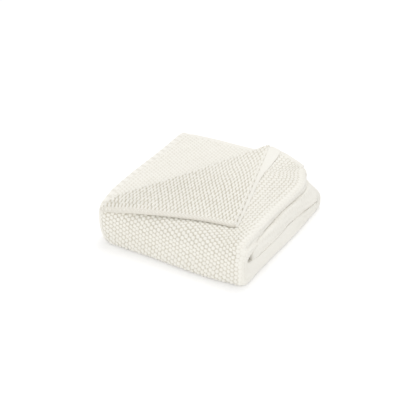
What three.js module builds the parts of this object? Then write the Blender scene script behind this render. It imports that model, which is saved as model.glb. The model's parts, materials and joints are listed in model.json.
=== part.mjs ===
// A knitted throw blanket, folded for a shelf, in millimetres with +Z up.
//
// The throw is a 1520 x 1270 mm panel. Its 1520 mm side is folded in four, which gives a strip of four
// layers, and the strip is folded in three like a letter. The result is a stack of twelve layers:
//
//   bottom pass   levels 0 to 4    layers 1, 2, 3, 4 from the floor up
//   middle pass   levels 4 to 8    layers 4, 3, 2, 1 from the bottom up, joined to the bottom pass at the back
//   top pass      levels 8 to 12   layers 4, 3, 2, 1 from the bottom up, joined to the bottom pass at the front
//
// On the right the strip's layers 1 and 4 join in one round fold, with layers 2 and 3 in a smaller one
// inside it. On the left layers 3 and 4 join in a fold, and layers 1 and 2 end in free hems.
// Layer 1 of the top pass has its corner turned over along a slanting fold, so it lies double there.
//
// The origin is at the middle of the stack, on the floor. +X is right and -Y is the front.

import * as THREE from 'three';

// Driving dimensions.
const WIDTH = 388;
const DEPTH = 414;
const PITCH = 9.2;
const GAP = 0.3;
const HEM = 10;
const BACK_RECESS = 6;
const ARC_STEPS = 10;

// The turned corner: two points of its outermost fold line, then the blanket's own corner and the place
// where the side hem reaches the back of the stack.
const FOLD_FRONT = new THREE.Vector2(-180, -192);
const FOLD_BACK = new THREE.Vector2(16, 189);
const CORNER = new THREE.Vector2(142, -148);
const SIDE_HEM_BACK = new THREE.Vector2(34, 207);

// Places that follow from the driving dimensions.
const LEFT = -WIDTH / 2;
const RIGHT = WIDTH / 2;
const FRONT = -DEPTH / 2;
const BACK = DEPTH / 2;
const LAYERS = 4;
const FRONT_BEND_RADIUS = 6 * PITCH;
const BACK_BEND_RADIUS = 4 * PITCH;
const FRONT_BEND_Y = FRONT + FRONT_BEND_RADIUS;
const BACK_BEND_Y = BACK - BACK_RECESS - BACK_BEND_RADIUS;
const RIGHT_FOLD_X = RIGHT - 2 * PITCH;
const LEFT_FOLD_X = LEFT + PITCH;

const throwBlanket = new THREE.Group();

const knit = () => new THREE.MeshStandardMaterial({ color: 0xebe7dc, roughness: 0.95, metalness: 0 });
const hem = () => new THREE.MeshStandardMaterial({ color: 0xf0ece3, roughness: 0.92, metalness: 0 });

// The height of the bottom of a level, and of the middle of the air gap just below it.
const level = (n) => n * PITCH;
const seam = (n) => n * PITCH - GAP / 2;

function add(name, geometry, material) {
  const mesh = new THREE.Mesh(geometry, material);
  mesh.name = name;
  throwBlanket.add(mesh);
  return mesh;
}

// A flat layer: an outline seen from above, one layer thick, at a level of the stack.
function layer(name, outline, n, material) {
  const geometry = new THREE.ExtrudeGeometry(new THREE.Shape(outline), {
    depth: PITCH - GAP,
    bevelEnabled: false,
  });
  const mesh = add(name, geometry, material);
  mesh.position.z = level(n);
  return mesh;
}

function rectangle(x0, x1, y0, y1) {
  return [
    new THREE.Vector2(x0, y0),
    new THREE.Vector2(x1, y0),
    new THREE.Vector2(x1, y1),
    new THREE.Vector2(x0, y1),
  ];
}

// The part of an outline on the side of a line that the normal points to, at least `margin` away from it.
function keepSide(outline, point, normal, margin) {
  const distance = (p) => p.clone().sub(point).dot(normal) - margin;
  const kept = [];
  outline.forEach((p, i) => {
    const q = outline[(i + 1) % outline.length];
    const dp = distance(p);
    const dq = distance(q);
    if (dp >= 0) kept.push(p);
    if (dp >= 0 !== dq >= 0) kept.push(p.clone().lerp(q, dp / (dp - dq)));
  });
  return kept;
}

// The cross-section of a bend: a sector of a ring, or of a disc where the inner radius is next to nothing.
function sector(inner, outer, from, to) {
  const steps = Math.round((ARC_STEPS * Math.abs(to - from)) / (Math.PI / 2));
  const arc = (radius, a, b) =>
    Array.from({ length: steps + 1 }, (_, i) => {
      const angle = a + ((b - a) * i) / steps;
      return new THREE.Vector2(radius * Math.cos(angle), radius * Math.sin(angle));
    });
  const inside = inner < GAP ? [new THREE.Vector2(0, 0)] : arc(inner, to, from);
  return new THREE.Shape([...arc(outer, from, to), ...inside]);
}

// The radii of one layer's bend, where `count` layers turn round one centre and layer 1 is outermost.
const bendRadii = (k, count) => ({
  inner: (count - k) * PITCH + GAP / 2,
  outer: (count - k + 1) * PITCH - GAP / 2,
});

// A bend that runs across the stack from x0 to its right edge, centred at y, z. Angles go from +Y to +Z.
function bendAcross(name, shape, x0, y, z, material) {
  const geometry = new THREE.ExtrudeGeometry(shape, { depth: RIGHT - GAP / 2 - x0, bevelEnabled: false });
  const mesh = add(name, geometry, material);
  const along = new THREE.Matrix4().makeBasis(
    new THREE.Vector3(0, 1, 0),
    new THREE.Vector3(0, 0, 1),
    new THREE.Vector3(1, 0, 0),
  );
  mesh.quaternion.setFromRotationMatrix(along);
  mesh.position.set(x0, y, z);
}

// A fold that runs from front to back, with its centre at x, z. Angles go from +X towards +Z.
function foldAlong(name, shape, x, z, y0, y1, material) {
  const geometry = new THREE.ExtrudeGeometry(shape, { depth: y1 - y0, bevelEnabled: false });
  const mesh = add(name, geometry, material);
  mesh.rotation.x = Math.PI / 2;
  mesh.position.set(x, y1, z);
}

// One pass of the strip: its four layers, its folds on both sides and its free hems on the left.
// `levels` gives the level of layers 1 to 4, and endHems says where the strip's end hems are, if it ends here.
function pass(name, levels, y0, y1, endHems) {
  const lowest = Math.min(...levels);
  const endDepth = endHems === null ? 0 : HEM + GAP;
  const inner0 = endHems === 'front' ? y0 + endDepth : y0;
  const inner1 = endHems === 'back' ? y1 - endDepth : y1;
  levels.forEach((n, i) => {
    const k = i + 1;
    const hemmed = k <= 2;
    const x0 = hemmed ? LEFT + HEM + GAP : LEFT_FOLD_X + GAP;
    const turned = name === 'top' && k === 1;
    const shaped = (outline) => (turned ? keepSide(outline, FOLD_FRONT, foldNormal, PITCH + GAP) : outline);
    const body = rectangle(x0, RIGHT_FOLD_X - GAP, inner0, inner1);
    layer(`${name}_layer_${k}`, shaped(body), n, knit());
    if (hemmed && !turned) {
      layer(`${name}_side_hem_${k}`, rectangle(LEFT, LEFT + HEM, inner0, inner1), n, hem());
    }
    if (endHems !== null) {
      const hemY = endHems === 'front' ? y0 : y1 - HEM;
      const endX = hemmed ? LEFT : x0;
      const end = rectangle(endX, RIGHT_FOLD_X - GAP, hemY, hemY + HEM);
      layer(`${name}_end_hem_${k}`, shaped(end), n, hem());
    }
  });
  const rightHalf = [-Math.PI / 2, Math.PI / 2];
  const leftHalf = [Math.PI / 2, (3 * Math.PI) / 2];
  const outer = bendRadii(1, 2);
  const inner = bendRadii(2, 2);
  const middle = seam(lowest + 2);
  foldAlong(`${name}_right_fold_outer`, sector(outer.inner, outer.outer, ...rightHalf), RIGHT_FOLD_X, middle,
    y0, y1, knit());
  foldAlong(`${name}_right_fold_inner`, sector(inner.inner, inner.outer, ...rightHalf), RIGHT_FOLD_X, middle,
    y0, y1, knit());
  const leftSeam = seam(Math.max(levels[2], levels[3]));
  foldAlong(`${name}_left_fold`, sector(inner.inner, inner.outer, ...leftHalf), LEFT_FOLD_X, leftSeam,
    y0, y1, knit());
}

// The slanting fold of the turned corner: its direction from front to back, and the normal to its right.
const foldDirection = FOLD_BACK.clone().sub(FOLD_FRONT).normalize();
const foldNormal = new THREE.Vector2(foldDirection.y, -foldDirection.x);

function turnedCorner() {
  const seamHeight = seam(3 * LAYERS);
  const field = rectangle(LEFT, RIGHT, FRONT, BACK);
  const cornerSide = keepSide(field, FOLD_FRONT, foldNormal, PITCH + GAP);

  // The two hems meet at the blanket's corner. Their normals point in, over the flap.
  const frontHemNormal = new THREE.Vector2(FOLD_FRONT.y - CORNER.y, CORNER.x - FOLD_FRONT.x).normalize();
  const sideHemNormal = new THREE.Vector2(CORNER.y - SIDE_HEM_BACK.y, SIDE_HEM_BACK.x - CORNER.x).normalize();
  const behindFrontHem = (outline, margin) => keepSide(outline, CORNER, frontHemNormal, margin);
  const besideSideHem = (outline, margin) => keepSide(outline, CORNER, sideHemNormal, margin);
  const outside = (outline, normal) => keepSide(outline, CORNER, normal.clone().negate(), -HEM);

  const flap = besideSideHem(behindFrontHem(cornerSide, HEM + GAP), HEM + GAP);
  layer('corner_flap', flap, 3 * LAYERS, knit());
  const frontHem = outside(besideSideHem(behindFrontHem(cornerSide, 0), 0), frontHemNormal);
  layer('corner_front_hem', frontHem, 3 * LAYERS, hem());
  const sideHem = outside(besideSideHem(behindFrontHem(cornerSide, HEM + GAP), 0), sideHemNormal);
  layer('corner_side_hem', sideHem, 3 * LAYERS, hem());

  // The fold itself, in a lower half that belongs to layer 1 and an upper half that belongs to the flap.
  const across = new THREE.Vector3(foldNormal.x, foldNormal.y, 0);
  const towardsFront = new THREE.Vector3(-foldDirection.x, -foldDirection.y, 0);
  const basis = new THREE.Matrix4().makeBasis(across, new THREE.Vector3(0, 0, 1), towardsFront);
  const backCentre = FOLD_FRONT.clone()
    .addScaledVector(foldNormal, PITCH)
    .addScaledVector(foldDirection, (BACK - PITCH - FOLD_FRONT.y) / foldDirection.y);
  const halfFold = (name, from, to, frontY) => {
    const length = (backCentre.y - frontY) / foldDirection.y;
    const shape = sector(0, PITCH - GAP / 2, from, to);
    const geometry = new THREE.ExtrudeGeometry(shape, { depth: length, bevelEnabled: false });
    const mesh = add(name, geometry, knit());
    const lift = from < Math.PI ? GAP / 2 : -GAP / 2;
    mesh.quaternion.setFromRotationMatrix(basis);
    mesh.position.set(backCentre.x, backCentre.y, seamHeight + lift);
  };
  halfFold('corner_fold_upper', Math.PI / 2, Math.PI, FOLD_FRONT.y + PITCH);
  halfFold('corner_fold_lower', Math.PI, (3 * Math.PI) / 2, FRONT_BEND_Y + PITCH);
}

pass('bottom', [0, 1, 2, 3], FRONT_BEND_Y + GAP, BACK_BEND_Y - GAP, null);
pass('middle', [7, 6, 5, 4], FRONT_BEND_Y + GAP, BACK_BEND_Y - GAP, 'front');
pass('top', [11, 10, 9, 8], FRONT_BEND_Y + GAP, BACK, 'back');

// The bends between passes. The front one is split at its outermost line, where the top pass hinges.
// Its outermost layer is turned over with the corner, so its upper half starts at the slanting fold.
const bendLeft = LEFT + GAP / 2;
const turnedFrom = FOLD_FRONT.x + (FRONT_BEND_Y - FOLD_FRONT.y) * (foldDirection.x / foldDirection.y) + GAP;
for (let k = 1; k <= LAYERS; k += 1) {
  const front = bendRadii(k, LAYERS + 2);
  const lower = sector(front.inner, front.outer, Math.PI, (3 * Math.PI) / 2);
  const upper = sector(front.inner, front.outer, Math.PI / 2, Math.PI);
  const upperLeft = k === 1 ? turnedFrom : bendLeft;
  bendAcross(`front_bend_lower_${k}`, lower, bendLeft, FRONT_BEND_Y, seam(6), knit());
  bendAcross(`front_bend_upper_${k}`, upper, upperLeft, FRONT_BEND_Y, seam(6) + GAP, knit());
  const back = bendRadii(k, LAYERS);
  const halfTurn = sector(back.inner, back.outer, -Math.PI / 2, Math.PI / 2);
  bendAcross(`back_bend_${k}`, halfTurn, bendLeft, BACK_BEND_Y, seam(4), knit());
}

turnedCorner();

export default throwBlanket;
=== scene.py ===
"""Looks for a moss-stitch throw blanket that is folded for a shelf.

The throw is one knitted strip of four layers, folded in three like a letter. Every piece of cloth here is
made on the same map. A section across the strip runs from the free hem of layer 1, round the right-hand
folds and the left-hand fold, to the free hem of layer 2. A path along the strip runs from the end on top,
round the front bend, along the floor, round the back bend and into the middle of the stack. Lengths are in
millimetres until a mesh is made.
"""

import json
import math

import bpy
import numpy as np
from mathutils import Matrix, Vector


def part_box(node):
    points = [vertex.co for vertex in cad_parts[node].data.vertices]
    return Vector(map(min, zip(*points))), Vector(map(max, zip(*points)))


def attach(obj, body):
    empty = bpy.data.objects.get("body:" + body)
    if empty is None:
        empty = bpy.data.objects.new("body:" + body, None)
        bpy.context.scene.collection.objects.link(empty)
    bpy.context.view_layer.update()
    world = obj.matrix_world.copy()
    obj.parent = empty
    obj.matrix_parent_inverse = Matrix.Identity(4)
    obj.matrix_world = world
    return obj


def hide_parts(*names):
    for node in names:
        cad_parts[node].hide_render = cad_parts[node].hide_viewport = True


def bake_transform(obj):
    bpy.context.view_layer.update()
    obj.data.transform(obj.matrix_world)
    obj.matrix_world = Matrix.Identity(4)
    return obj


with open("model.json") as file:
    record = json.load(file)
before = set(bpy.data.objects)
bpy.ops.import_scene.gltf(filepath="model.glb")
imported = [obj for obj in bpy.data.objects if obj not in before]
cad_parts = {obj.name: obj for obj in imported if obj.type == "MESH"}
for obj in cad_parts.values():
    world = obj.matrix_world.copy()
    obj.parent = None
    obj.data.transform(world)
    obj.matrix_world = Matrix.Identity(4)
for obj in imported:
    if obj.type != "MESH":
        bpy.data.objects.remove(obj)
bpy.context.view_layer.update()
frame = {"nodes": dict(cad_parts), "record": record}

MM = 1000.0


# ---------------------------------------------------------------- places from the frame

def low(node):
    return np.array(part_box(node)[0]) * MM


def high(node):
    return np.array(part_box(node)[1]) * MM


def farthest(node, direction):
    """The corner of a CAD node that lies farthest in a direction."""
    points = np.array([v.co for v in frame["nodes"][node].data.vertices]) * MM
    return points[np.argmax(points @ np.array(direction))]


# PITCH is the distance from one layer to the next, and HALF is half the thickness of a layer.
PITCH = low("bottom_layer_2")[2]
HALF = (high("bottom_layer_1")[2] - low("bottom_layer_1")[2]) / 2
LEFT = low("bottom_side_hem_1")[0]
RIGHT_FOLD_X = low("bottom_right_fold_outer")[0]
LEFT_FOLD_X = high("bottom_left_fold")[0]
HEM = high("bottom_side_hem_1")[0] - LEFT
FRONT_BEND_Y = high("front_bend_lower_1")[1]
BACK_BEND_Y = low("back_bend_1")[1]
TOP_END = high("top_end_hem_2")[1]

joints = {joint["name"]: joint for joint in frame["record"]["behaviour"]["joints"]}
CORNER_HINGE = np.array(joints["corner_fold"]["pos_m"]) * MM
FOLD_DIRECTION = -np.array(joints["corner_fold"]["axis"][:2])
FOLD_NORMAL = np.array([FOLD_DIRECTION[1], -FOLD_DIRECTION[0]])

# The middle heights of the three passes, and the bends that join them. A turn is the radius of a bend at
# layer 1's outer face.
BOTTOM_PASS, MIDDLE_PASS, TOP_PASS = 2 * PITCH, 6 * PITCH, 10 * PITCH
FRONT_RADIUS = (TOP_PASS - BOTTOM_PASS) / 2
BACK_RADIUS = (MIDDLE_PASS - BOTTOM_PASS) / 2
BACK_CENTRE = BOTTOM_PASS + BACK_RADIUS
HALF_PASS = 2 * PITCH
FRONT_TURN = FRONT_RADIUS + HALF_PASS
BACK_TURN = BACK_RADIUS + HALF_PASS

# Stretches of the path along the strip. The coordinate s is the length along layer 1's outer face: it is y
# on top of the stack and falls along the strip from there.
BEND_END = FRONT_BEND_Y - math.pi * FRONT_TURN
FLOOR_END = BEND_END - (BACK_BEND_Y - FRONT_BEND_Y)
BACK_END = FLOOR_END - math.pi * BACK_TURN
MIDDLE_END = BACK_END - (BACK_BEND_Y - FRONT_BEND_Y)

# Where the parts of the section across the strip start. The coordinate c is the length along the middle of
# the cloth from layer 1's left edge. Folds are half turns.
OUTER_RADIUS = 1.5 * PITCH
INNER_RADIUS = 0.5 * PITCH
SECTION_STARTS = {
    "layer_1": 0.0,
    "outer_fold": RIGHT_FOLD_X - LEFT,
    "layer_4": RIGHT_FOLD_X - LEFT + 1.5 * math.pi * PITCH,
    "left_fold": 2 * RIGHT_FOLD_X - LEFT - LEFT_FOLD_X + 1.5 * math.pi * PITCH,
    "layer_3": 2 * RIGHT_FOLD_X - LEFT - LEFT_FOLD_X + 2.0 * math.pi * PITCH,
    "inner_fold": 3 * RIGHT_FOLD_X - LEFT - 2 * LEFT_FOLD_X + 2.0 * math.pi * PITCH,
    "layer_2": 3 * RIGHT_FOLD_X - LEFT - 2 * LEFT_FOLD_X + 2.5 * math.pi * PITCH,
    "end": 4 * RIGHT_FOLD_X - 2 * LEFT - 2 * LEFT_FOLD_X + 2.5 * math.pi * PITCH,
}
PART_STARTS = np.array(list(SECTION_STARTS.values()))
PART_COUNT = len(SECTION_STARTS) - 1


# ---------------------------------------------------------------- the map from cloth to space

def smooth(t):
    t = np.clip(t, 0.0, 1.0)
    return t * t * (3 - 2 * t)


def ramp(t, start, end):
    """Rises smoothly from 0 at start to 1 at end."""
    return smooth((t - start) / (end - start))


def mix(first, second, share):
    return first + (second - first) * share


# How square the round folds at the right are, as the power of a superellipse. The outward side has one
# value each for the middle pass, the back bend, the top of the front bend and the top pass. The inward side
# has one for everything below the top pass and one for the top pass.
OUTWARD_POWERS = (5, 6, 4.5, 2.6)
INWARD_POWERS = (18, 5)


def fold_power(s, n):
    """The power at length s along the strip. n is above 0 on the outward side."""
    outward_at = (BACK_END - 20, BACK_END + 20, FRONT_BEND_Y - 20, FRONT_BEND_Y + 30)
    inward_at = (FRONT_BEND_Y - 20, FRONT_BEND_Y + 60)
    return np.where(n > 0, np.interp(s, outward_at, OUTWARD_POWERS), np.interp(s, inward_at, INWARD_POWERS))


def section(c, s, offset):
    """Across the strip. offset is the distance from the middle of the cloth towards its outer face. Gives x,
    and the height n over the strip's middle."""
    part = np.clip(np.searchsorted(PART_STARTS, c, side="right") - 1, 0, PART_COUNT - 1)
    along = c - PART_STARTS[part]
    turn = along / np.where(part == 1, OUTER_RADIUS, INNER_RADIUS)
    parts = [part == number for number in range(PART_COUNT)]
    x = np.select(parts, [
        LEFT + along,
        RIGHT_FOLD_X + (OUTER_RADIUS + offset) * np.sin(turn),
        RIGHT_FOLD_X - along,
        LEFT_FOLD_X - (INNER_RADIUS + offset) * np.sin(turn),
        LEFT_FOLD_X + along,
        RIGHT_FOLD_X + (INNER_RADIUS - offset) * np.sin(turn),
        RIGHT_FOLD_X - along])
    n = np.select(parts, [
        OUTER_RADIUS + offset,
        (OUTER_RADIUS + offset) * np.cos(turn),
        -OUTER_RADIUS - offset,
        -PITCH - (INNER_RADIUS + offset) * np.cos(turn),
        -INNER_RADIUS + offset,
        -(INNER_RADIUS - offset) * np.cos(turn),
        INNER_RADIUS - offset])
    # The weight of the pile squares the round folds at the right.
    dx = np.maximum(x - RIGHT_FOLD_X, 0)
    reach = np.sqrt(dx ** 2 + n ** 2) + 1e-9
    power = fold_power(s, n)
    square = ((dx / reach) ** power + (np.abs(n) / reach) ** power) ** (-1 / power)
    fuller = np.where(dx > 0, mix(1, square, smooth(reach / HALF_PASS)), 1)
    return np.where(dx > 0, RIGHT_FOLD_X + dx * fuller, x), n * fuller


# How far the end of the middle pass is pushed into the hollow of the front bend, and over what length.
TONGUE = 17.0
TONGUE_LENGTH = 90


def along_strip(s, n):
    """Along the strip: y and z at length s and height n over the strip's middle."""
    front_angle = (FRONT_BEND_Y - s) / FRONT_TURN
    back_angle = (FLOOR_END - s) / BACK_TURN
    in_middle = s < BACK_END
    stretch = [s >= FRONT_BEND_Y, s >= BEND_END, s >= FLOOR_END, s >= BACK_END]
    y = np.select(stretch, [
        s,
        FRONT_BEND_Y - (FRONT_RADIUS + n) * np.sin(front_angle),
        FRONT_BEND_Y + BEND_END - s,
        BACK_BEND_Y + (BACK_RADIUS + n) * np.sin(back_angle)],
        BACK_BEND_Y + s - BACK_END)
    # The end of the middle pass is also rounded by the hollow that it is pushed into.
    pushed = y - TONGUE * (1 - ramp(y, FRONT_BEND_Y, FRONT_BEND_Y + TONGUE_LENGTH))
    y = np.where(in_middle, pushed, y)
    share = np.clip((FRONT_BEND_Y - y) / HALF_PASS, 0, 0.95)
    n = np.where(in_middle, n * np.sqrt(1 - share ** 2), n)
    z = np.select(stretch, [
        TOP_PASS + n,
        MIDDLE_PASS + (FRONT_RADIUS + n) * np.cos(front_angle),
        BOTTOM_PASS - n,
        BACK_CENTRE - (BACK_RADIUS + n) * np.cos(back_angle)],
        MIDDLE_PASS + n)
    return y, z


# ---------------------------------------------------------------- how the stack settles

# The heights of the middle of the stack, the two seams over and under it as shares of half a pass, the depth
# of the hole that they leave in the front bend, and how square that bend is.
MIDDLE_AT_FRONT = 61
MIDDLE_AT_BACK = 52
PINCH_AT_FRONT = 0.12
LOWER_SEAM = 0.72
LOWER_SEAM_AT_BACK = 1.5
UPPER_SEAM = 1.85
FRONT_HOLE = 3.7 * PITCH
FRONT_POWER_BELOW = 13.0
FRONT_POWER_ABOVE = 2.6

# The top pass: the heights between which cloth comes to belong to it, how far it is drawn back at the right,
# how far it sinks, and how far its end lies back from straight. Each bow step is an amount, and the x where
# it starts and ends.
TOP_HEIGHTS = (82, 98)
DRAWN_BACK = 9
SINK_RIGHT = 4
SINK_LEFT = 1.6
BOW_AT_LEFT = 17
BOW_STEPS = ((-9, -190, 0), (-15, 5, 50), (10, 60, 120))

# The corners in plan. The back right and front left ones have a radius for low down and one for high up.
CORNER_POWER = 8
BACK_RIGHT_RADII = (30, 115)
FRONT_LEFT_RADII = (40, 26)
BACK_LEFT_RADIUS = 34
FRONT_RIGHT_RADIUS = 22

# How far the stack leans out at the left above the floor, and how far it spreads near the floor: at the right
# side, and at the left and right of the front.
LEAN_LEFT = 4
SPREAD_RIGHT = 3
SPREAD_FRONT = (3, 7)

# The slow waves of a soft pile: a share of the height, and millimetres at the sides.
WAVE_SHARE = 0.008
SIDE_WAVE = 1.6


def ring_factor(reach, inner, outer, new_inner):
    """Scales a ring from inner to outer into one from new_inner to outer, and the hole in it with its rim."""
    in_hole = reach * new_inner / inner
    in_ring = new_inner + (reach - inner) * (outer - new_inner) / (outer - inner)
    return np.where(reach > outer, 1.0, np.where(reach < inner, in_hole, in_ring) / reach)


def close_passes(y, z):
    """The passes close over the end of the middle one, and the two seams between passes meet there."""
    behind = ramp(y, FRONT_BEND_Y - 38, FRONT_BEND_Y + 22)
    to_back = ramp(y, 0, BACK_BEND_Y + 10)
    dz = z - MIDDLE_PASS
    dy = np.minimum(y - FRONT_BEND_Y, 0)
    reach = np.sqrt(dz ** 2 + dy ** 2) + 1e-9
    lower = mix(LOWER_SEAM, LOWER_SEAM_AT_BACK, to_back)
    seam = HALF_PASS * mix(PINCH_AT_FRONT, np.where(dz > 0, UPPER_SEAM, lower), behind)
    rise = ring_factor(reach, HALF_PASS, FRONT_TURN, seam)
    run = ring_factor(reach, HALF_PASS, FRONT_TURN, FRONT_HOLE)
    # The front bend stands nearly upright, with a tighter turn at the floor than at the top.
    turned = dy < 0
    power = np.where(dz < 0, FRONT_POWER_BELOW, FRONT_POWER_ABOVE)
    square = ((np.abs(dy) / reach) ** power + (np.abs(dz) / reach) ** power) ** (-1 / power)
    square = np.where(turned, mix(1, square, smooth(reach / FRONT_TURN)), 1)
    y = np.where(turned, FRONT_BEND_Y + dy * run * square, y)
    dz = dz * rise * square
    centre = mix(MIDDLE_AT_FRONT, MIDDLE_AT_BACK, to_back)
    z = centre + dz * np.where(dz > 0, 2 * MIDDLE_PASS - centre, centre) / MIDDLE_PASS
    return y, z


def shape_top(x, y, z):
    """The top pass is drawn back at the right, sinks a little and ends in a bowed line."""
    on_top = ramp(z, *TOP_HEIGHTS)
    x = x - DRAWN_BACK * on_top * ramp(x, 120, RIGHT_FOLD_X)
    z = z - SINK_RIGHT * on_top * ramp(x, 60, RIGHT_FOLD_X) - SINK_LEFT * on_top * ramp(-x, -40, 80)
    bow = BOW_AT_LEFT + sum(amount * ramp(x, start, end) for amount, start, end in BOW_STEPS)
    moved = y - bow * on_top * (y - FRONT_BEND_Y) / (TOP_END - FRONT_BEND_Y)
    return x, np.where(y > FRONT_BEND_Y, moved, y), z


def round_corner(x, y, edge_x, edge_y, radius):
    """Rounds the corner of the stack at (edge_x, edge_y) in plan."""
    side_x, side_y = np.sign(edge_x), np.sign(edge_y)
    dx = np.maximum(side_x * (x - edge_x) + radius, 0)
    dy = np.maximum(side_y * (y - edge_y) + radius, 0)
    reach = np.hypot(dx, dy) + 1e-9
    factor = ((dx / reach) ** CORNER_POWER + (dy / reach) ** CORNER_POWER) ** (1 / CORNER_POWER)
    inside = (dx > 0) & (dy > 0)
    return (np.where(inside, x + side_x * dx * (factor - 1), x),
            np.where(inside, y + side_y * dy * (factor - 1), y))


def round_corners(x, y, z):
    x, y = round_corner(x, y, -LEFT, TOP_END, mix(*BACK_RIGHT_RADII, ramp(z, 25, 85)))
    x, y = round_corner(x, y, LEFT, -TOP_END, mix(*FRONT_LEFT_RADII, ramp(z, 0, 40)))
    x, y = round_corner(x, y, LEFT, TOP_END, BACK_LEFT_RADIUS)
    return round_corner(x, y, -LEFT, -TOP_END, FRONT_RIGHT_RADIUS)


def spread_foot(x, y, z):
    """The left side leans out above the floor, and the right side and the front spread near it."""
    x = x - LEAN_LEFT * ramp(-x, 150, 190) * ramp(z, 0, 40)
    spread = 1 - ramp(z, 5, 45)
    x = x + SPREAD_RIGHT * spread * ramp(x, 150, 190) * ramp(y, -150, -60)
    forward = mix(*SPREAD_FRONT, ramp(x, -60, 60)) * (1 - ramp(x, 110, 170))
    return x, y - forward * spread * ramp(-y, 150, 195)


def slow_waves(x, y, z):
    wave = np.sin(x / 47 + 0.6) * np.cos(y / 61 - 0.4) + 0.6 * np.sin(x / 23 - y / 31)
    z = z * (1 + WAVE_SHARE * wave)
    x = x + SIDE_WAVE * ramp(np.abs(x), 120, 180) * np.sin(y / 38 + z / 17)
    return x, y, z


def settle(x, y, z):
    """How the plain stack sags and settles. Every piece goes through this, so neighbours stay clear."""
    y, z = close_passes(y, z)
    x, y, z = shape_top(x, y, z)
    x, y = round_corners(x, y, z)
    x, y = spread_foot(x, y, z)
    return slow_waves(x, y, z)


LENGTHS_AT = np.linspace(MIDDLE_END, TOP_END + 20, 1200)


def cloth_length(s):
    """Length along the settled outer face at s. It equals s where the front bend begins."""
    y, z = settle(np.zeros(len(LENGTHS_AT)), *along_strip(LENGTHS_AT, HALF_PASS))[1:]
    lengths = np.concatenate([[0], np.cumsum(np.hypot(np.diff(y), np.diff(z)))])
    lengths += FRONT_BEND_Y - np.interp(FRONT_BEND_Y, LENGTHS_AT, lengths)
    return np.interp(s, LENGTHS_AT, lengths)


# ---------------------------------------------------------------- the stitch

# A stitch's size is half the distance from a bump to the next one in its row, and to the next in its wale.
# Every other row is shifted by that. The radii of a bump are shares of the size. Heights run from about 0 to
# 1, and stitches flatten out towards LEVEL.
STITCH = (8.9, 4.9)
FINE_STITCH = (8.0, 5.3)
LEVEL = 0.75
LEAN = 0.20
FINE_LEAN = 0.38
BUMP_RADII = (0.52, 0.90)
WALE_RADII = (0.50, 1.70)
FINE_RADII = (0.50, 1.00)
FLAP_RADII = (0.70, 0.70)
JITTER = 0.16
HEIGHT_SPREAD = 0.28

# How far the wales and the rows slant, as a slope.
WALE_TILT = 0.10
ROW_TILT = 0.06

# Real heights: of a bump, and how far the bumps stand past the CAD's face and a plain face lies inside it.
BUMP = 3.3
PROUD = 0.6


def hashed(i, j):
    """A number from 0 to 1 that depends on which bump this is."""
    value = np.sin(i * 127.1 + j * 311.7) * 43758.5453
    return value - np.floor(value)


def moss(p, q, size, lean=0.0, radii=BUMP_RADII):
    """Height of moss stitch at p across the wales and q across the rows. With a lean the bumps grow longer on
    one diagonal and thinner on the other."""
    u = p / size[0]
    v = q / size[1]
    i = np.round((u + v) / 2)
    j = np.round((u - v) / 2)
    du = (u - (i + j) + JITTER * (hashed(j, i) - 0.5)) / radii[0]
    dv = (v - (i - j) + JITTER * (hashed(i + 7, j) - 0.5)) / radii[1]
    height = np.sqrt(np.clip(1 - du ** 2 - dv ** 2 - 2 * lean * du * dv, 0, 1))
    return height * (1 + HEIGHT_SPREAD * (hashed(i, j) - 0.5))


def flattened(height, depth):
    """The same stitches with a share of their depth."""
    return LEVEL + (height - LEVEL) * depth


# ---------------------------------------------------------------- meshes

def grid_faces(rows, columns, first, flip):
    i, j = np.meshgrid(np.arange(rows - 1), np.arange(columns - 1), indexing="ij")
    a = first + i * columns + j
    quads = np.stack([a, a + 1, a + columns + 1, a + columns], axis=-1).reshape(-1, 4)
    return quads[:, ::-1] if flip else quads


def zipped(fine, coarse, flip):
    """Triangles between two rows of vertices that run side by side, one with more vertices than the other."""
    faces = []
    i = j = 0
    while i < len(fine) - 1 or j < len(coarse) - 1:
        ahead = j == len(coarse) - 1 or (i + 1) / (len(fine) - 1) <= (j + 0.5) / (len(coarse) - 1)
        if i < len(fine) - 1 and ahead:
            faces.append((fine[i], fine[i + 1], coarse[j]))
            i += 1
        else:
            faces.append((fine[i], coarse[j + 1], coarse[j]))
            j += 1
    faces = np.array(faces)
    return faces[:, ::-1] if flip else faces


def make_object(name, points, faces, material, uv, height):
    """A smooth-shaded mesh object from points in millimetres."""
    mesh = bpy.data.meshes.new(name)
    counts = np.concatenate([np.full(len(part), part.shape[1]) for part in faces])
    starts = np.concatenate([[0], np.cumsum(counts)[:-1]])
    corners = np.concatenate([part.ravel() for part in faces])
    mesh.vertices.add(len(points))
    mesh.vertices.foreach_set("co", (points / MM).astype(np.float32).ravel())
    mesh.loops.add(len(corners))
    mesh.loops.foreach_set("vertex_index", corners.astype(np.int32))
    mesh.polygons.add(len(counts))
    mesh.polygons.foreach_set("loop_start", starts.astype(np.int32))
    mesh.polygons.foreach_set("use_smooth", np.ones(len(counts), bool))
    layer = mesh.uv_layers.new(name="cloth")
    layer.data.foreach_set("uv", (uv[corners] / MM).astype(np.float32).ravel())
    attribute = mesh.attributes.new("stitch_height", "FLOAT", "POINT")
    attribute.data.foreach_set("value", height.astype(np.float32))
    mesh.update(calc_edges=True)
    mesh.validate()
    mesh.materials.append(material)
    piece = bpy.data.objects.new(name, mesh)
    bpy.context.scene.collection.objects.link(piece)
    return piece


# The stitch height that colours a face without stitches.
BACK_HEIGHT = 0.7


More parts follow.
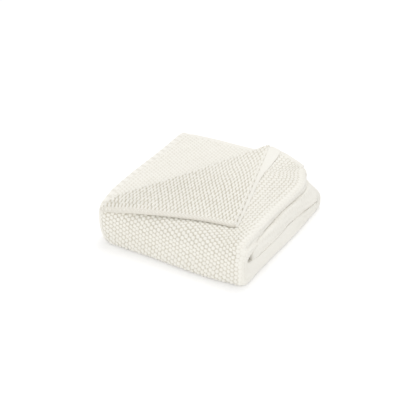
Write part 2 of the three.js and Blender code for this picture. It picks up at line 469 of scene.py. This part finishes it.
def slab(name, place, u, v, stitch, coarse=6, up=True):
    """A closed piece of knitted cloth. place(u, v, offset) gives points in space for offsets from the middle
    of the cloth. The face with the stitches is fine, and the one behind it is coarse. With coarse at 1 both
    faces have stitches."""
    def face(us, vs, sign, bumpy):
        height = stitch(us, vs) if bumpy else np.full(us.shape, BACK_HEIGHT)
        offset = HALF - BUMP + PROUD + BUMP * height if bumpy else np.full(us.shape, HALF - PROUD)
        x, y, z = settle(*place(us, vs, sign * offset))
        return np.stack([x, y, z], axis=-1).reshape(-1, 3), height.ravel()

    pick_rows = np.unique(np.append(np.arange(0, u.shape[0], coarse), u.shape[0] - 1))
    pick_columns = np.unique(np.append(np.arange(0, u.shape[1], coarse), u.shape[1] - 1))
    back_u = u[np.ix_(pick_rows, pick_columns)]
    back_v = v[np.ix_(pick_rows, pick_columns)]
    front_points, front_height = face(u, v, 1 if up else -1, True)
    back_points, back_height = face(back_u, back_v, -1 if up else 1, coarse == 1)
    rows, columns = u.shape
    back_rows, back_columns = back_u.shape
    first = len(front_points)
    front_index = np.arange(rows * columns).reshape(rows, columns)
    back_index = first + np.arange(back_rows * back_columns).reshape(back_rows, back_columns)
    faces = [
        grid_faces(rows, columns, 0, not up),
        grid_faces(back_rows, back_columns, first, up),
        zipped(front_index[0], back_index[0], up),
        zipped(front_index[-1], back_index[-1], not up),
        zipped(front_index[:, 0], back_index[:, 0], not up),
        zipped(front_index[:, -1], back_index[:, -1], up),
    ]
    points = np.concatenate([front_points, back_points])
    front_uv = np.stack([u, v], -1).reshape(-1, 2)
    back_uv = np.stack([back_u, back_v], -1).reshape(-1, 2)
    uv = np.concatenate([front_uv, back_uv])
    return make_object(name, points, faces, knit, uv, np.concatenate([front_height, back_height]))


def steps(start, end, step):
    return np.linspace(start, end, max(2, int(round(abs(end - start) / step)) + 1))


# ---------------------------------------------------------------- materials

def set_inputs(node, values):
    for name, value in values.items():
        node.inputs[name].default_value = value
    return node


def bump_node(material, source, strength, distance):
    """A bump over the height that a texture gives."""
    node = material.node_tree.nodes.new("ShaderNodeBump")
    set_inputs(node, {"Strength": strength, "Distance": distance})
    material.node_tree.links.new(source.outputs["Fac"], node.inputs["Height"])
    return node


def knit_material(name, colour, pit_shade_colour, roughness):
    """Yarn with painted shade between the stitches, where the stitch height is low, and with a slow change of
    tint, strands and fuzz.
    """
    material = bpy.data.materials.new(name)
    material.use_nodes = True
    nodes = material.node_tree.nodes
    links = material.node_tree.links
    shader = nodes["Principled BSDF"]
    set_inputs(shader, {"Roughness": roughness, "Sheen Weight": 0.25, "Sheen Roughness": 0.6,
                        "Specular IOR Level": 0.2})

    place = nodes.new("ShaderNodeTexCoord")
    height = nodes.new("ShaderNodeAttribute")
    height.attribute_name = "stitch_height"
    slow = set_inputs(nodes.new("ShaderNodeTexNoise"), {"Scale": 9.0, "Detail": 3.0})
    fuzz = set_inputs(nodes.new("ShaderNodeTexNoise"), {"Scale": 900.0, "Detail": 4.0})
    strands = set_inputs(nodes.new("ShaderNodeTexWave"), {"Scale": 130.0, "Distortion": 5.0, "Detail": 2.0})
    links.new(place.outputs["Object"], slow.inputs["Vector"])
    links.new(place.outputs["Object"], fuzz.inputs["Vector"])
    links.new(place.outputs["UV"], strands.inputs["Vector"])

    # Painted shade in the pits: the colour falls to the darker pit colour where the stitch height is low.
    depth = set_inputs(nodes.new("ShaderNodeMapRange"), {"From Min": 0.0, "From Max": 0.75})
    depth.interpolation_type = "SMOOTHSTEP"
    links.new(height.outputs["Fac"], depth.inputs["Value"])
    colour_mix = nodes.new("ShaderNodeMix")
    colour_mix.data_type = "RGBA"
    set_inputs(colour_mix, {"A": (*pit_shade_colour, 1), "B": (*colour, 1)})
    links.new(depth.outputs["Result"], colour_mix.inputs["Factor"])
    tint = nodes.new("ShaderNodeMix")
    tint.data_type = "RGBA"
    tint.blend_type = "MULTIPLY"
    tint.inputs["Factor"].default_value = 1.0
    tint_range = nodes.new("ShaderNodeValToRGB")
    tint_range.color_ramp.elements[0].color = (0.955, 0.95, 0.94, 1)
    tint_range.color_ramp.elements[1].color = (1, 1, 1, 1)
    links.new(slow.outputs["Fac"], tint_range.inputs["Fac"])
    links.new(colour_mix.outputs["Result"], tint.inputs["A"])
    links.new(tint_range.outputs["Color"], tint.inputs["B"])
    links.new(tint.outputs["Result"], shader.inputs["Base Color"])

    strand_bump = bump_node(material, strands, strength=0.35, distance=0.0008)
    fuzz_bump = bump_node(material, fuzz, strength=0.3, distance=0.0005)
    links.new(strand_bump.outputs["Normal"], fuzz_bump.inputs["Normal"])
    links.new(fuzz_bump.outputs["Normal"], shader.inputs["Normal"])
    return material


# The pit colour is painted shade between the stitches, not a darker yarn.
knit = knit_material("ivory_moss_knit", colour=(0.90, 0.88, 0.815), pit_shade_colour=(0.62, 0.58, 0.48),
                     roughness=0.9)
# The border yarn is a little lighter than the knit, a painted highlight where the rounded hems catch the
# light. Its pit colour is painted shade, as on the knit.
band = knit_material("ivory_border_knit", colour=(0.92, 0.90, 0.84), pit_shade_colour=(0.62, 0.58, 0.49),
                     roughness=0.88)


# ---------------------------------------------------------------- the turned corner's outline on the strip

# The corner starts to turn over a little in front of its hinge's point. The looks put the tip of its two
# hems and the back end of its side hem slightly off the CAD's, where the photo has them.
FOLD_START = CORNER_HINGE[1] - 18
FLAP_CORNER = farthest("corner_front_hem", (1, 0, 0))[:2] + [-5, 9]
SIDE_HEM_BACK = farthest("corner_side_hem", (0.1, 1, 0))[:2] + [5, 0]
CORNER_END = TOP_END - 2.0


def fold_x(s):
    """Where the cloth turns over, as x on the strip at length s: a straight line on top of the stack, which
    swings out past the left edge below the place where the fold begins."""
    straight = CORNER_HINGE[0] + (s - CORNER_HINGE[1]) * FOLD_DIRECTION[0] / FOLD_DIRECTION[1]
    swing = np.clip((FOLD_START - s) / 45, 0, 4)
    return straight - 60 * swing ** 1.5


def curled(x, s, n, offset, above):
    """Bends cloth near the slanting fold round it. above is 1 for the corner and -1 for layer 1 under it."""
    r = (x - fold_x(s)) * FOLD_NORMAL[0]
    bent = r < PITCH
    angle = np.clip((PITCH - r) / INNER_RADIUS, 0, math.pi / 2)
    distance = INNER_RADIUS + above * offset
    turned_r = PITCH - distance * np.sin(angle)
    turned_n = HALF_PASS + above * distance * np.cos(angle)
    shift = np.where(bent, turned_r - r, 0)
    return x + shift * FOLD_NORMAL[0], s + shift * FOLD_NORMAL[1], np.where(bent, turned_n, n)


# How far from the fold line the two cloths meet, measured in x on the flat strip.
CURL_SHIFT = (PITCH - math.pi / 2 * INNER_RADIUS) / FOLD_NORMAL[0]


# ---------------------------------------------------------------- cloth along the strip

def strip_place(c, s, offset):
    x, n = section(c, s, offset)
    y, z = along_strip(s, n)
    return x, y, z


def layer_1_place(c, s, offset):
    """Layer 1 where its corner is turned over: it bends up along the slanting fold."""
    x, n = section(c, s, offset)
    x, s, n = curled(x, s, n, offset, -1)
    y, z = along_strip(s, n)
    return x, y, z


# How deep the stitches are, and by what share they are pulled smooth or stretched.
FRONT_DEPTH = 0.77
TOP_DEPTH = 0.52
DEEPER_AT_RIGHT = 0.18
SMOOTHED_ON_FOLD = 0.66
SMOOTHED_ON_FLOOR = 0.7
SMOOTHED_IN_BEND = 0.85
LAYER_2_DEPTH = 0.48
ROW_STRETCH = 0.16
WALE_STRETCH = 0.18


def plain_stitch(c, s):
    """Deep on the front and shallower on top, and pulled smoother round the folds at the right. The rows are
    stretched on both sides of the front's top edge and the wales on top, and bumps run into lines at the
    right of the top."""
    outer_fold, layer_4 = SECTION_STARTS["outer_fold"], SECTION_STARTS["layer_4"]
    on_top = ramp(s, FRONT_BEND_Y, FRONT_BEND_Y + 60)
    on_fold = ramp(c, outer_fold - 8, outer_fold + 12) - ramp(c, layer_4 - 8, layer_4 + 8)
    on_floor = ramp(s, FLOOR_END - 20, FLOOR_END) - ramp(s, BEND_END + 20, BEND_END + 45)
    to_right = ramp(c, outer_fold - 125, outer_fold - 55)

    row = cloth_length(s)
    past_edge = np.maximum(row - FRONT_BEND_Y - 30, 0)
    below_edge = np.maximum(FRONT_BEND_Y - 45 - row, 0)
    row = row - ROW_STRETCH * past_edge + ROW_STRETCH * below_edge
    c = c - WALE_STRETCH * on_top * (c - outer_fold)
    across = c - WALE_TILT * row * (1 - on_top)
    along = row - ROW_TILT * c
    bumps = moss(across, along, STITCH, LEAN)
    wales = moss(across, along, STITCH, 0.0, WALE_RADII)
    height = mix(bumps, wales, to_right * np.maximum(on_top, on_fold))
    depth = mix(FRONT_DEPTH, TOP_DEPTH, on_top) + DEEPER_AT_RIGHT * on_top * to_right
    depth = depth * (1 - SMOOTHED_ON_FOLD * on_fold) * (1 - SMOOTHED_ON_FLOOR * on_floor)
    return flattened(height, depth)


def inner_stitch(c, s):
    """The same stitch, pulled nearly smooth inside the front bend."""
    inside = ramp(s, BEND_END, BEND_END + 20) - ramp(s, FRONT_BEND_Y - 20, FRONT_BEND_Y)
    return flattened(plain_stitch(c, s), 1 - SMOOTHED_IN_BEND * inside)


def fine_stitch(c, s):
    """The shallow stitch of layer 2, counted from its free hem."""
    across = SECTION_STARTS["end"] - c
    height = moss(across, s - ROW_TILT * across, FINE_STITCH, FINE_LEAN, FINE_RADII)
    return flattened(height, LAYER_2_DEPTH)


# The gap between a wrap and the back piece that goes on from it. Mesh steps are finest where the cloth is
# seen close, and longest where it is hidden.
EDGE_GAP = 0.15
SEEN_STEP = 1.45
OUTER_FOLD_STEP = 0.9
LAYER_4_STEP = 2.3
LEFT_FOLD_STEP = 1.5
INNER_STEP = 2
SECOND_STEP = 2.07
BACK_STEP = 1.9
BACK_INNER_STEP = 3.64
FLOOR_STEP = 5
HIDDEN_STEP = 6
WRAP_COLUMNS = 168


def strip_piece(name, first, last, s0, s1, step, stitch=plain_stitch, up=True):
    """A plain piece of cloth between two places across the strip and two along it."""
    c, s = np.meshgrid(steps(first, last, step), steps(s0, s1, step))
    return slab(name, strip_place, c, s, stitch, coarse=4, up=up)


def outer_wrap():
    """Layer 1 and the outer fold, from the floor round the front to the end on top."""
    on_floor = steps(FLOOR_END + EDGE_GAP, BEND_END + 12, FLOOR_STEP)
    s = np.concatenate([on_floor, steps(BEND_END + 14, TOP_END - HEM, SEEN_STEP)])[:, None]
    fold = steps(SECTION_STARTS["outer_fold"], SECTION_STARTS["layer_4"], OUTER_FOLD_STEP)[None, 1:]
    edge = np.maximum(LEFT + HEM, fold_x(s) + CURL_SHIFT) - LEFT
    flat = mix(edge, SECTION_STARTS["outer_fold"], np.linspace(0, 1, WRAP_COLUMNS))
    c = np.concatenate([flat, np.repeat(fold, len(s), 0)], axis=1)
    return slab("outer_wrap", layer_1_place, c, np.repeat(s, c.shape[1], 1), plain_stitch)


def inner_wrap():
    """Layer 4, the left-hand fold and layer 3, along the same stretch. Layer 3 never comes to view."""
    layer_4, left_fold, layer_3, inner_fold = PART_STARTS[2:6]
    c = np.concatenate([steps(layer_4, left_fold, LAYER_4_STEP),
                        steps(left_fold + LEFT_FOLD_STEP, layer_3, LEFT_FOLD_STEP),
                        steps(layer_3 + HIDDEN_STEP, inner_fold, HIDDEN_STEP)])
    s = np.concatenate([steps(FLOOR_END + EDGE_GAP, BEND_END, HIDDEN_STEP),
                        steps(BEND_END + INNER_STEP, TOP_END - HEM, INNER_STEP)])
    return slab("inner_wrap", strip_place, *np.meshgrid(c, s), inner_stitch, coarse=3)


def second_wrap():
    """The inner right-hand fold and layer 2, whose outer face shows where the corner is turned over."""
    return strip_piece("second_wrap", SECTION_STARTS["inner_fold"], SECTION_STARTS["end"] - HEM,
                       FLOOR_END + EDGE_GAP, TOP_END - HEM, SECOND_STEP, stitch=fine_stitch, up=False)


def back_pieces():
    """The same three pieces of cloth on the back bend and in the middle of the stack."""
    layer_4, inner_fold, end = (SECTION_STARTS[name] for name in ("layer_4", "inner_fold", "end"))
    along = (MIDDLE_END + HEM, FLOOR_END - EDGE_GAP)
    return [
        strip_piece("back_wrap", HEM, layer_4, *along, BACK_STEP),
        strip_piece("back_inner", layer_4, inner_fold, *along, BACK_INNER_STEP),
        strip_piece("back_second", inner_fold, end - HEM, *along, BACK_INNER_STEP, fine_stitch, up=False),
    ]


# ---------------------------------------------------------------- the turned corner

# How high the corner's middle lies over the middle of the top pass, and how fine its mesh is.
CORNER_N = 2.5 * PITCH
CORNER_COLUMNS = 180
CORNER_ROWS = 250

# From one bump of the corner's stitches to the next in two directions, as steps in x and y, and how deep the
# stitches are at the front and at the back.
FLAP_ACROSS = (8.8, 1.7)
FLAP_ALONG = (1.1, 12.6)
CORNER_DEPTHS = (0.92, 0.62)


def corner_point(u, v):
    """x and s on the strip at share u across the corner and share v from its front hem to the back."""
    start_x = mix(fold_x(FOLD_START), fold_x(CORNER_END), v)
    start_s = mix(FOLD_START, CORNER_END, v)
    end_x = mix(FLAP_CORNER[0], SIDE_HEM_BACK[0], v)
    end_s = mix(FLAP_CORNER[1], SIDE_HEM_BACK[1], v)
    return mix(start_x, end_x, u), mix(start_s, end_s, u)


def corner_place(x, s, offset):
    x, s, n = curled(x, s, CORNER_N + offset, offset, 1)
    y, z = along_strip(s, n)
    return x, y, z


def corner_stitch(x, s):
    """The turned cloth shows its stitches the other way round, so they follow the hems of the corner."""
    determinant = FLAP_ACROSS[0] * FLAP_ALONG[1] - FLAP_ACROSS[1] * FLAP_ALONG[0]
    across = (x * FLAP_ALONG[1] - s * FLAP_ALONG[0]) / determinant
    along = (s * FLAP_ACROSS[0] - x * FLAP_ACROSS[1]) / determinant
    height = moss(2 * across + along, along, (1.0, 1.0), radii=FLAP_RADII)
    return flattened(height, mix(*CORNER_DEPTHS, ramp(s, -60, 120)))


def turned_corner():
    """The turned cloth, from where it meets layer 1 round the fold to its side hem."""
    u, v = np.meshgrid(np.linspace(0, 1, CORNER_COLUMNS), np.linspace(0, 1, CORNER_ROWS))
    x, s = corner_point(u, v)
    return slab("turned_corner_knit", corner_place, x + CURL_SHIFT * (1 - u), s, corner_stitch, coarse=1)


# ---------------------------------------------------------------- hems

# A hem's mesh, the power that makes its section oval, and its ribs: their distance, their real depth as a
# share of the hem's thickness, and their stitch height, which sets their colour against the painted shade in
# the grooves between them. A hem reaches over the cloth's edge by the overlap.
HEM_POINTS = 300
HEM_SIDES = 24
HEM_ROUND = 0.5
RIB = 3.2
RIB_DEPTH = 0.015
RIB_HEIGHT = 0.8
OVERLAP = 2.5
UV_PER_RADIAN = 3


def hem_bar(name, centre, across, width=None, wedge=0.0, start=4.0, end=4.0, groove_shade_height=0.45):
    """A rolled hem along a line. centre(t) gives x, s and n at its middle for t from 0 to 1, and across is
    the direction over it to its free edge. Its section is a flat oval. With a width that depends on t it
    grows on the far side only, and with a wedge it is thinner there. start and end are the lengths of its
    round ends."""
    t = np.linspace(0, 1, HEM_POINTS)
    x, s, n = centre(t)
    length = np.concatenate([[0], np.cumsum(np.hypot(np.diff(x), np.diff(s)))])
    from_end = np.clip(np.minimum(length / start, (length[-1] - length) / end), 0.03, 1)
    size = np.sqrt(1 - (1 - from_end) ** 2)[:, None]
    ribs = 0.5 + 0.5 * np.sin(length / RIB * 2 * math.pi)

    angle = np.linspace(0, 2 * math.pi, HEM_SIDES, endpoint=False)
    flat = np.sign(np.cos(angle)) * np.abs(np.cos(angle)) ** HEM_ROUND
    tall = np.sign(np.sin(angle)) * np.abs(np.sin(angle)) ** HEM_ROUND
    full_width = (np.full(HEM_POINTS, HEM) if width is None else width(t))[:, None] + OVERLAP
    reach = flat * full_width / 2 * size + (full_width - HEM) / 2 - OVERLAP
    thickness = 1 - wedge * (0.5 + 0.5 * flat)
    ribbed = 1 - RIB_DEPTH * (1 - ribs[:, None])
    px = x[:, None] + across[0] * reach
    ps = s[:, None] + across[1] * reach
    pn = n[:, None] + HALF * (tall * thickness * size * ribbed - (1 - thickness))
    points = np.stack(settle(px, *along_strip(ps, pn)), -1).reshape(-1, 3)

    i, j = np.meshgrid(np.arange(HEM_POINTS - 1), np.arange(HEM_SIDES), indexing="ij")
    a = i * HEM_SIDES + j
    b = i * HEM_SIDES + (j + 1) % HEM_SIDES
    quads = np.stack([a, b, b + HEM_SIDES, a + HEM_SIDES], -1).reshape(-1, 4)
    first_cap = np.arange(HEM_SIDES)[::-1][None, :]
    last_cap = (np.arange(HEM_SIDES) + (HEM_POINTS - 1) * HEM_SIDES)[None, :]
    uv = np.stack([np.repeat(length, HEM_SIDES), np.tile(angle * UV_PER_RADIAN, HEM_POINTS)], -1)
    # Painted shade in the grooves between the ribs: the stitch height falls there, and this darkens the
    # colour.
    height = np.repeat(mix(groove_shade_height, RIB_HEIGHT, ribs), HEM_SIDES)
    return make_object(name, points, [quads, first_cap, last_cap], band, uv, height)


def side_hem(name, height_over_middle, s0, s1, edge=None):
    """A free hem on the left of the strip."""
    def centre(t):
        s = mix(s0, s1, t)
        x = np.full(t.shape, LEFT + HEM / 2) if edge is None else edge(s)
        return x, s, np.full(t.shape, height_over_middle)
    return hem_bar(name, centre, (-1, 0))


def end_hem(name, height_over_middle, x0, s, outward):
    """The hem across an end of the strip, from x0 to the folds at the right."""
    def centre(t):
        return mix(x0, RIGHT_FOLD_X, t), np.full(t.shape, s), np.full(t.shape, height_over_middle)
    return hem_bar(name, centre, (0, outward))


def over_edge(first, last):
    """The direction in plan that lies square to the line between two points, to its right."""
    x, s = (last - first) / np.linalg.norm(last - first)
    return s, -x


def corner_hems():
    """The front hem, and the side hem that widens towards the back and is thin at its far edge."""
    fold_end, tip, back = (np.array(corner_point(u, v)) for u, v in ((0.0, 0.0), (1.0, 0.0), (1.0, 1.0)))

    def front(t):
        return *corner_point(t, np.zeros(t.shape)), np.full(t.shape, CORNER_N)

    def side(t):
        return *corner_point(np.ones(t.shape), t), np.full(t.shape, CORNER_N)

    def side_width(t):
        return HEM * (1.0 + 0.5 * t + 2.0 * ramp(t, 0.5, 1.0))

    # The front hem's grooves fall to the full pit colour, which is painted shade where that hem faces down
    # into shade. The side hem's grooves get less.
    return (hem_bar("corner_front_band", front, over_edge(fold_end, tip), start=30.0, groove_shade_height=0.0),
            hem_bar("corner_side_band", side, over_edge(tip, back), side_width, wedge=0.88, end=14.0,
                    groove_shade_height=0.55))


# ---------------------------------------------------------------- build

LAYER_N = [1.5 * PITCH, 0.5 * PITCH, -0.5 * PITCH, -1.5 * PITCH]
LAYER_WORDS = ["first", "second", "third", "fourth"]


def end_bands(pass_name, first_x, s, outward):
    """The end hems of a pass's four layers. The two inner ones end at the left-hand fold."""
    starts = [first_x, LEFT, LEFT_FOLD_X - 4, LEFT_FOLD_X - 4]
    return [end_hem(f"{pass_name}_{word}_end_band", n, x0, s, outward)
            for word, n, x0 in zip(LAYER_WORDS, LAYER_N, starts)]


def first_edge(s):
    """The middle of layer 1's free hem, which leaves the left edge for the fold line."""
    return np.maximum(LEFT + HEM / 2, fold_x(s) + 2)


wrap = outer_wrap()
inner = inner_wrap()
second = second_wrap()
back_outer, back_inner, back_second = back_pieces()
corner = turned_corner()
front_band, side_band = corner_hems()

floor_s = FLOOR_END + EDGE_GAP
back_s = (MIDDLE_END + HEM, FLOOR_END - EDGE_GAP)
first_hem = side_hem("first_layer_side_band", LAYER_N[0], floor_s, FOLD_START, first_edge)
second_hem = side_hem("second_layer_side_band", LAYER_N[1], floor_s, TOP_END - HEM)
back_first_hem = side_hem("middle_first_side_band", LAYER_N[0], *back_s)
back_second_hem = side_hem("middle_second_side_band", LAYER_N[1], *back_s)

top_s = TOP_END - HEM / 2
top_bands = end_bands("top", fold_x(top_s) + PITCH, top_s, 1)
middle_bands = end_bands("middle", LEFT, MIDDLE_END + HEM / 2, -1)


# ---------------------------------------------------------------- what moves with what


def across_front_bend(piece):
    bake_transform(piece)


def across_slanting_fold(piece):
    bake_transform(piece)


for piece in (wrap, inner, second, first_hem, second_hem):
    across_front_bend(piece)
for piece in (corner, front_band, side_band):
    across_slanting_fold(piece)
for piece in (back_outer, back_inner, back_second, back_first_hem, back_second_hem, *middle_bands):
    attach(piece, "base")
for piece in top_bands:
    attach(piece, "top_pass")

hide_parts("bottom_layer_1", "top_layer_1", "bottom_right_fold_outer", "top_right_fold_outer",
            "front_bend_lower_1", "front_bend_upper_1", "corner_fold_lower")
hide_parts("bottom_layer_4", "bottom_layer_3", "top_layer_4", "top_layer_3", "bottom_left_fold",
            "top_left_fold", "front_bend_lower_3", "front_bend_lower_4", "front_bend_upper_3",
            "front_bend_upper_4")
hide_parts("bottom_layer_2", "top_layer_2", "bottom_right_fold_inner", "top_right_fold_inner",
            "front_bend_lower_2", "front_bend_upper_2")
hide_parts("middle_layer_1", "middle_right_fold_outer", "back_bend_1")
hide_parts("middle_layer_3", "middle_layer_4", "middle_left_fold", "back_bend_3", "back_bend_4")
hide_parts("middle_layer_2", "middle_right_fold_inner", "back_bend_2")
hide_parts("corner_flap", "corner_fold_upper")
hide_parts("corner_front_hem")
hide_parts("corner_side_hem")
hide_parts("bottom_side_hem_1")
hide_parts("bottom_side_hem_2", "top_side_hem_2")
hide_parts("middle_side_hem_1")
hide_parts("middle_side_hem_2")
for number, piece in enumerate(top_bands, 1):
    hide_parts(f"top_end_hem_{number}")
for number, piece in enumerate(middle_bands, 1):
    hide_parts(f"middle_end_hem_{number}")


# ---------------------------------------------------------------- floor, light and camera, in metres

FLOOR_SIZE = 60
FLOOR_DROP = 0.0005
KEY_PLACE = (-0.2, 0.8, 2.7)
FILL_PLACE = (0.5, -2.65, 1.5)
CAMERA_AZIMUTH = math.radians(29.9)
CAMERA_ELEVATION = math.radians(32.5)
CAMERA_DISTANCE = 2.85
CAMERA_TARGET = Vector((-0.042, 0.045, 0.0))
WHITE = (1, 1, 1, 1)


def floor():
    bpy.ops.mesh.primitive_plane_add(size=FLOOR_SIZE)
    plane = bpy.context.object
    plane.name = "floor"
    material = bpy.data.materials.new("floor_white")
    material.use_nodes = True
    set_inputs(material.node_tree.nodes["Principled BSDF"], {
        "Base Color": (0.92, 0.92, 0.92, 1), "Emission Color": WHITE, "Emission Strength": 0.13,
        "Roughness": 0.9, "Specular IOR Level": 0.1})
    plane.data.materials.append(material)
    plane.location.z = -FLOOR_DROP


def aim(item, direction):
    item.rotation_euler = Vector(direction).to_track_quat("-Z", "Y").to_euler()


def area_light(name, position, size, power):
    """A square light that points at the origin."""
    data = bpy.data.lights.new(name, "AREA")
    data.size = size
    data.energy = power
    light = bpy.data.objects.new(name, data)
    bpy.context.scene.collection.objects.link(light)
    light.location = position
    aim(light, -Vector(position))


def camera():
    level = math.cos(CAMERA_ELEVATION)
    back = Vector((math.sin(CAMERA_AZIMUTH) * level, -math.cos(CAMERA_AZIMUTH) * level,
                   math.sin(CAMERA_ELEVATION)))
    data = bpy.data.cameras.new("camera")
    data.lens = 100.6
    data.sensor_width = 36
    item = bpy.data.objects.new("camera", data)
    bpy.context.scene.collection.objects.link(item)
    item.location = CAMERA_TARGET + back * CAMERA_DISTANCE
    aim(item, -back)
    bpy.context.scene.camera = item


floor()
area_light("key", KEY_PLACE, size=1.4, power=19)
area_light("fill", FILL_PLACE, size=2.0, power=14.5)
world = bpy.data.worlds.new("studio")
world.use_nodes = True
set_inputs(world.node_tree.nodes["Background"], {"Color": WHITE, "Strength": 0.80})
bpy.context.scene.world = world
bpy.context.scene.view_settings.view_transform = "Standard"
camera()
